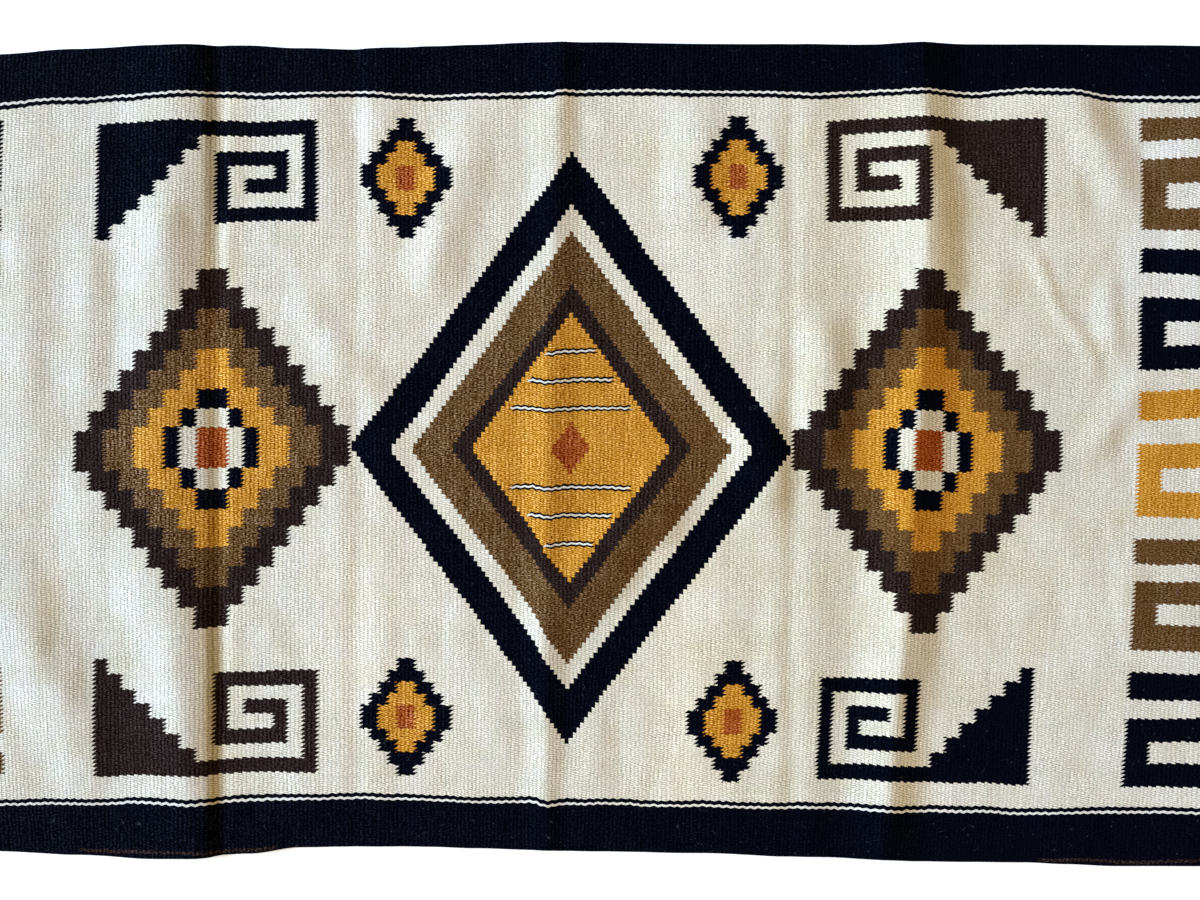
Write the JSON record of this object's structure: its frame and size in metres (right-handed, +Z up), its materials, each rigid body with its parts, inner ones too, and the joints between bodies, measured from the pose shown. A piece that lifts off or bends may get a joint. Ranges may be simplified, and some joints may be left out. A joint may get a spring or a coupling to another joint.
{
  "type": "zapotec rug",
  "caption": "Flat hand-woven wool tapestry rug with dark long borders, stepped key bands at its ends, a geometric field, and low fold creases.",
  "frame": {"origin": "centre of the rug's footprint, on the surface it lies on", "axes": "+X along the rug's length, +Y across its width to the back edge, +Z up"},
  "size_m": [1.5, 0.8222, 0.0117],
  "materials": {
    "wool_weave": "matte hand-spun wool, weft-faced ribs"
  },
  "bodies": {
    "root": {"rug": "wool_weave"}
  },
  "joints": []
}
